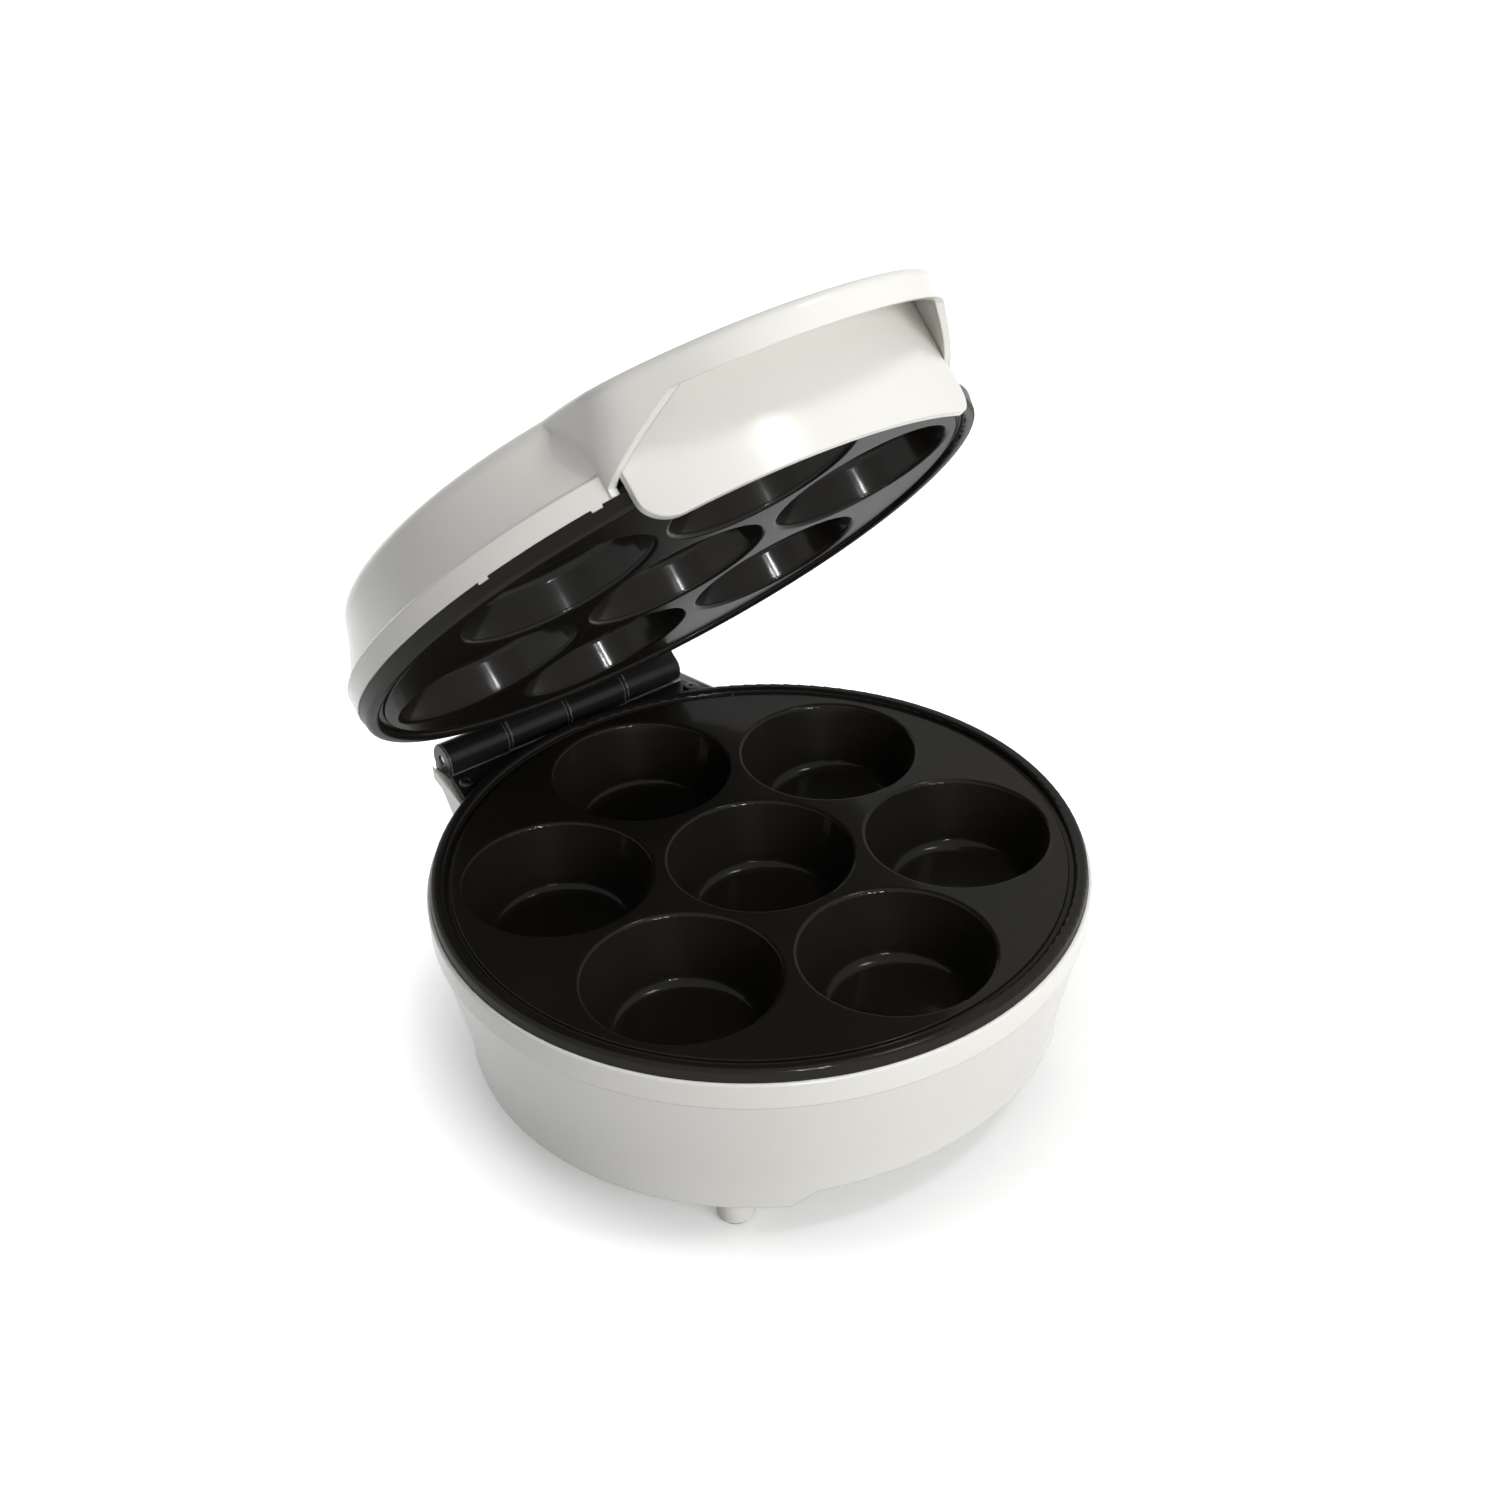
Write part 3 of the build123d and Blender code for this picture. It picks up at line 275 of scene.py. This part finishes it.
inlet_bushing = skin(
    "inlet_bushing", (colour(214, 213, 208), colour(205, 204, 198)),
    drift=50.0, fineness=1500.0, gloss=(0.34, 0.46), relief=0.00001, IOR=1.5,
)
dress("cord_gland", inlet_bushing)


# Hinge leaves. Die-cast leaves with their knuckles, stove-enamelled black. The ends of the
# knuckles are painted bright, a painted glint with some wear.

black_enamel = skin(
    "black_enamel", (colour(22, 22, 22), colour(28, 27, 27)),
    drift=60.0, fineness=1100.0, gloss=(0.27, 0.31), relief=0.000001,
    edge=(colour(156, 154, 148), 0.0008, 7.0), IOR=1.5, Specular_IOR_Level=0.25,
)
dress("base_hinge_leaf", black_enamel)
dress("lid_hinge_leaf", black_enamel)


# Screws. Blackened pan-head screws with a cross recess: two through each hinge leaf, and four
# that hold the bottom cover from below.

# Their edges are painted lighter, a painted glint.
blackened_steel = skin(
    "blackened_steel", (colour(70, 69, 68), colour(52, 51, 51)),
    drift=300.0, fineness=2600.0, gloss=(0.28, 0.42), relief=0.00001,
    edge=(colour(150, 148, 144), 0.0003, 1.4), Metallic=0.85,
)

screw_head_radius, screw_head_height, screw_radius = 0.003, 0.0018, 0.0015
# Shares of the head's height, and of its radius where a width is meant
crown_sink_share = 0.38
crown_shares = ((0.06, 0.16), (0.10, 0.12), (0.16, 0.07), (0.22, 0.03))
recess_length_share, recess_width_share, recess_depth_share = 1.15, 0.24, 0.55
recess_foot_share = 0.5
# Shares of the shank's length with the width that each stretch narrows to
shank_shares = ((0.86, 1.0), (0.14, 0.55))


def select_faces(piece, wanted):
    """Selects in edit mode the faces that are wanted, by place or normal."""
    bpy.ops.object.mode_set(mode="EDIT")
    bpy.ops.mesh.select_mode(type="FACE")
    bpy.ops.mesh.select_all(action="DESELECT")
    bpy.ops.object.mode_set(mode="OBJECT")
    for face in piece.data.polygons:
        face.select = wanted(face)
    bpy.ops.object.mode_set(mode="EDIT")


def settle():
    """Puts the active piece's place into its mesh."""
    bpy.ops.object.transform_apply(location=True, rotation=True, scale=True)


def cut_with(piece, cutter):
    """Cuts the cutter out of the piece and deletes it."""
    cut = piece.modifiers.new("cut", "BOOLEAN")
    cut.operation = "DIFFERENCE"
    cut.solver = "EXACT"
    cut.object = cutter
    bpy.context.view_layer.objects.active = piece
    bpy.ops.object.modifier_apply(modifier=cut.name)
    bpy.data.objects.remove(cutter)


def cross_screw(shank_length):
    """A pan-head screw that stands on z 0 with its head up, its shank down and a cross recess."""
    bpy.ops.object.select_all(action="DESELECT")
    bpy.ops.mesh.primitive_cylinder_add(
        vertices=40, radius=screw_head_radius, depth=screw_head_height,
        location=(0, 0, screw_head_height / 2),
    )
    screw = bpy.context.object
    screw.name = "pattern_screw"
    settle()
    # The crown: the top sinks and rises again in four insets, so that the head is domed
    select_faces(screw, lambda face: face.normal.z > 0.9)
    bpy.ops.transform.translate(value=(0, 0, -crown_sink_share * screw_head_height))
    for inset, rise in crown_shares:
        bpy.ops.mesh.inset(thickness=inset * screw_head_radius)
        bpy.ops.transform.translate(value=(0, 0, rise * screw_head_height))
    # The shank: the seat is inset and drawn down, with a short lead at its tip
    select_faces(screw, lambda face: face.normal.z < -0.9)
    bpy.ops.mesh.inset(thickness=screw_head_radius - screw_radius)
    for length, narrower in shank_shares:
        drawn = (0, 0, -length * shank_length)
        bpy.ops.mesh.extrude_region_move(TRANSFORM_OT_translate={"value": drawn})
        bpy.ops.transform.resize(value=(narrower, narrower, 1))
    bpy.ops.object.mode_set(mode="OBJECT")
    # The recess: two crossed slots that narrow towards their foot
    for turn in (0, math.pi / 2):
        bpy.ops.object.select_all(action="DESELECT")
        bpy.ops.mesh.primitive_cube_add(
            size=1, location=(0, 0, screw_head_height), rotation=(0, 0, turn),
            scale=(
                recess_length_share * screw_head_radius,
                recess_width_share * screw_head_radius,
                2 * recess_depth_share * screw_head_height,
            ),
        )
        slot_cutter = bpy.context.object
        settle()
        select_faces(slot_cutter, lambda face: face.normal.z < -0.9)
        bpy.ops.transform.resize(value=(recess_foot_share, recess_foot_share, 1))
        bpy.ops.object.mode_set(mode="OBJECT")
        cut_with(screw, slot_cutter)
    bpy.ops.object.select_all(action="DESELECT")
    screw.select_set(True)
    bpy.context.view_layer.objects.active = screw
    bpy.ops.object.shade_smooth_by_angle(angle=math.radians(38))
    screw.data.materials.clear()
    screw.data.materials.append(blackened_steel)
    return screw


def placed_copy(piece, name, place):
    """A copy of the piece with a mesh of its own, moved by a matrix."""
    copy = piece.copy()
    copy.data = piece.data.copy()
    copy.name = name
    copy.data.name = name
    bpy.context.scene.collection.objects.link(copy)
    copy.data.transform(place)
    return copy


heads_down = Matrix.Rotation(math.pi, 4, "X")

# Base leaf: the screws stand at the two ends of the box that the CAD screws fill
leaf_screw = cross_screw(shank_length=0.0088)
low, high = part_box("base_leaf_screws")
for side, x, turn in (
    ("left", low.x + screw_head_radius, 0.4), ("right", high.x - screw_head_radius, 1.1),
):
    spot = Matrix.Translation((x, (low.y + high.y) / 2, high.z - screw_head_height))
    screw = placed_copy(leaf_screw, "base_leaf_screw_" + side, spot @ Matrix.Rotation(turn, 4, "Z"))
    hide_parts("base_leaf_screws")
    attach(screw, "base")

# Lid leaf: it is screwed from inside the lid, and its screws swing open with the lid
hinge = Vector(frame["joints"][0]["pos_m"])
lid_swing = math.radians(-frame["joints"][0]["range_deg"][0])
as_lid_stands = (
    Matrix.Translation(hinge) @ Matrix.Rotation(-lid_swing, 4, "X") @ Matrix.Translation(-hinge)
)
lid_screw_aside, lid_screw_ahead, lid_screw_above = 0.044, 0.014, 0.0069
for side, x, turn in (("left", -lid_screw_aside, 0.7), ("right", lid_screw_aside, 0.2)):
    spot = Matrix.Translation(hinge + Vector((x, -lid_screw_ahead, lid_screw_above)))
    screw = placed_copy(
        leaf_screw, "lid_leaf_screw_" + side,
        as_lid_stands @ spot @ heads_down @ Matrix.Rotation(turn, 4, "Z"),
    )
    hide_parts("lid_leaf_screws")
    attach(screw, "lid")
bpy.data.objects.remove(leaf_screw)

# Bottom cover: four screws with their heads down, each driven home at another angle
low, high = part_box("cover_screws")
cover_screw = cross_screw(shank_length=high.z - low.z - screw_head_height)
turn_to_the_metre = 40
for end, y in (("front", low.y + screw_head_radius), ("rear", high.y - screw_head_radius)):
    for side, x in (("left", low.x + screw_head_radius), ("right", high.x - screw_head_radius)):
        spot = Matrix.Translation((x, y, low.z + screw_head_height))
        turn = Matrix.Rotation(turn_to_the_metre * (x + y), 4, "Z")
        screw = placed_copy(
            cover_screw, "cover_screw_" + end + "_" + side, spot @ turn @ heads_down
        )
        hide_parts("cover_screws")
        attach(screw, "base")
bpy.data.objects.remove(cover_screw)


# Lid. A domed moulding that runs on into the hooded handle, and a separate curved apron set
# back inside the hood, both in the same plastic as the base.

dress("lid_shell", white_moulding)
dress("handle_apron", white_moulding)


# Indicator lamps. A red and a green lens moulded in clear tinted plastic, pushed up through the
# dome from a small carrier under it.

dress("lamp_plate", cover_moulding)
red_lens = skin(
    "red_lens", (colour(196, 34, 24), colour(176, 26, 20)),
    drift=300.0, fineness=2000.0, gloss=(0.10, 0.16), relief=0.000004,
    IOR=1.49, Transmission_Weight=0.35,
)
green_lens = skin(
    "green_lens", (colour(36, 150, 62), colour(28, 130, 52)),
    drift=300.0, fineness=2000.0, gloss=(0.10, 0.16), relief=0.000004,
    IOR=1.49, Transmission_Weight=0.35,
)
dress("power_lens", red_lens)
dress("ready_lens", green_lens)


# Studio floor. Pale paper that keeps the shadow near the object and fades to white further out.
# It throws back less light than it shows, and from below it is clear.

floor_shade, floor_bounce, floor_glow = 0.80, 0.45, 0.30
shadow_middle, shadow_starts, shadow_ends = (0.02, -0.012, 0), 0.11, 0.175
full_white = (1.0, 1.0, 1.0, 1.0)


def seen_rays(tree):
    """One for what the camera sees, by itself or in a glossy or clear surface, else zero."""
    rays = put(tree, "ShaderNodeLightPath").outputs
    mirrored = worked(tree, "MAXIMUM", rays["Is Glossy Ray"], rays["Is Transmission Ray"])
    return worked(tree, "MAXIMUM", rays["Is Camera Ray"], mirrored)


bpy.ops.object.select_all(action="DESELECT")
bpy.ops.mesh.primitive_plane_add(size=14, location=(0, 0, 0))
floor = bpy.context.object
floor.name = "studio_floor"
floor_paint = bpy.data.materials.new("floor_paint")
floor_paint.use_nodes = True
tree = floor_paint.node_tree
tree.nodes.remove(tree.nodes["Principled BSDF"])
seen = seen_rays(tree)
place = put(tree, "ShaderNodeTexCoord").outputs["Object"]
off_middle = put(tree, "ShaderNodeVectorMath", {0: place, 1: shadow_middle}, operation="SUBTRACT")
reach = put(tree, "ShaderNodeVectorMath", {0: off_middle.outputs[0]}, operation="LENGTH")
far = put(
    tree, "ShaderNodeMapRange",
    {"Value": reach.outputs["Value"], "From Min": shadow_starts, "From Max": shadow_ends},
    interpolation_type="SMOOTHSTEP",
).outputs["Result"]
shade = put(
    tree, "ShaderNodeMapRange", {"Value": seen, "To Min": floor_bounce, "To Max": floor_shade}
).outputs["Result"]
paper = put(tree, "ShaderNodeBsdfDiffuse", {"Color": shade})
glow_strength = put(
    tree, "ShaderNodeMapRange", {"Value": far, "To Min": floor_glow, "To Max": 1.0}
).outputs["Result"]
seen_glow = worked(tree, "MULTIPLY", glow_strength, seen)
glow = put(tree, "ShaderNodeEmission", {"Color": full_white, "Strength": seen_glow})
both = put(tree, "ShaderNodeAddShader", {0: paper.outputs[0], 1: glow.outputs[0]})
below = put(tree, "ShaderNodeNewGeometry").outputs["Backfacing"]
clear = put(tree, "ShaderNodeBsdfTransparent")
sheet = put(tree, "ShaderNodeMixShader", {0: below, 1: both.outputs[0], 2: clear.outputs[0]})
tree.links.new(sheet.outputs[0], tree.nodes["Material Output"].inputs["Surface"])
floor.data.materials.append(floor_paint)


# Surround and lamps. A white surround whose light comes more from the right and front, a square
# key lamp above, large lamps in front and behind, and two narrow strips that only the glossy
# coat shows.

dark_side, bright_side = 0.06, 0.60
towards_bright, side_reach = (0.55, -0.75, 0.35), 0.7
world = bpy.data.worlds.new("studio_surround")
bpy.context.scene.world = world
world.use_nodes = True
tree = world.node_tree
seen = seen_rays(tree)
sky = put(tree, "ShaderNodeTexCoord").outputs["Generated"]
lean = put(tree, "ShaderNodeVectorMath", {0: sky, 1: towards_bright}, operation="DOT_PRODUCT")
ambient = put(
    tree, "ShaderNodeMapRange",
    {"Value": lean.outputs["Value"], "From Min": -side_reach, "From Max": side_reach,
     "To Min": dark_side, "To Max": bright_side},
).outputs["Result"]
dim = put(tree, "ShaderNodeBackground", {"Color": full_white, "Strength": ambient})
white = put(tree, "ShaderNodeBackground", {"Color": full_white, "Strength": 1.0})
surround = put(tree, "ShaderNodeMixShader", {0: seen, 1: dim.outputs[0], 2: white.outputs[0]})
tree.links.new(surround.outputs[0], tree.nodes["World Output"].inputs["Surface"])


def softbox(name, spot, aim, size, power, mirrored=True, lights=True):
    """A rectangular soft light at spot, turned to aim, that lights, is mirrored, or both."""
    data = bpy.data.lights.new(name, "AREA")
    data.shape = "RECTANGLE"
    data.size, data.size_y = size
    data.energy = power
    lamp = bpy.data.objects.new(name, data)
    bpy.context.scene.collection.objects.link(lamp)
    lamp.location = spot
    lamp.rotation_euler = (Vector(aim) - Vector(spot)).to_track_quat("-Z", "Y").to_euler()
    lamp.visible_glossy = mirrored
    lamp.visible_diffuse = lights


middle = (0, 0, 0.15)
softbox("overhead", spot=(0.1, -0.1, 1.6), aim=(0, 0, 0.1), size=(1.3, 1.3), power=0.4)
softbox("key", spot=(0.36, -0.68, 1.53), aim=middle, size=(0.28, 0.28), power=4.6)
softbox("front", spot=(0, -1.6, 0.72), aim=(0, 0, 0.12), size=(1.0, 0.7), power=14.0, mirrored=False)
softbox("rear", spot=(0.3, 1.6, 0.6), aim=middle, size=(1.0, 0.8), power=5.5, mirrored=False)
for name, spot in (("left_strip", (-0.60, -1.12, 0.50)), ("right_strip", (-0.48, -1.18, 0.50))):
    softbox(name, spot, aim=middle, size=(0.03, 0.12), power=4.0, lights=False)


# Camera. It stands at the front left, a step above the object, and looks down on the open plates.
# Its frame is shifted, because the picture is a part of a wider view.

camera_data = bpy.data.cameras.new("viewpoint")
camera_data.sensor_width = 36.0
camera_data.lens = 46.742
camera_data.shift_x, camera_data.shift_y = -0.06636, 0.00861
camera = bpy.data.objects.new("viewpoint", camera_data)
bpy.context.scene.collection.objects.link(camera)
# The camera's right, up and backward directions, one for each column of its matrix
right, up, backward = (0.7545, -0.6563, 0.0), (0.3601, 0.4140, 0.8360), (-0.5487, -0.6307, 0.5487)
stand = (-0.32371, hinge.y - 0.53559, 0.45686)
columns = [(*right, 0), (*up, 0), (*backward, 0), (*stand, 1)]
camera.matrix_world = Matrix(columns).transposed()
bpy.context.scene.camera = camera
bpy.context.scene.view_settings.view_transform = "Standard"
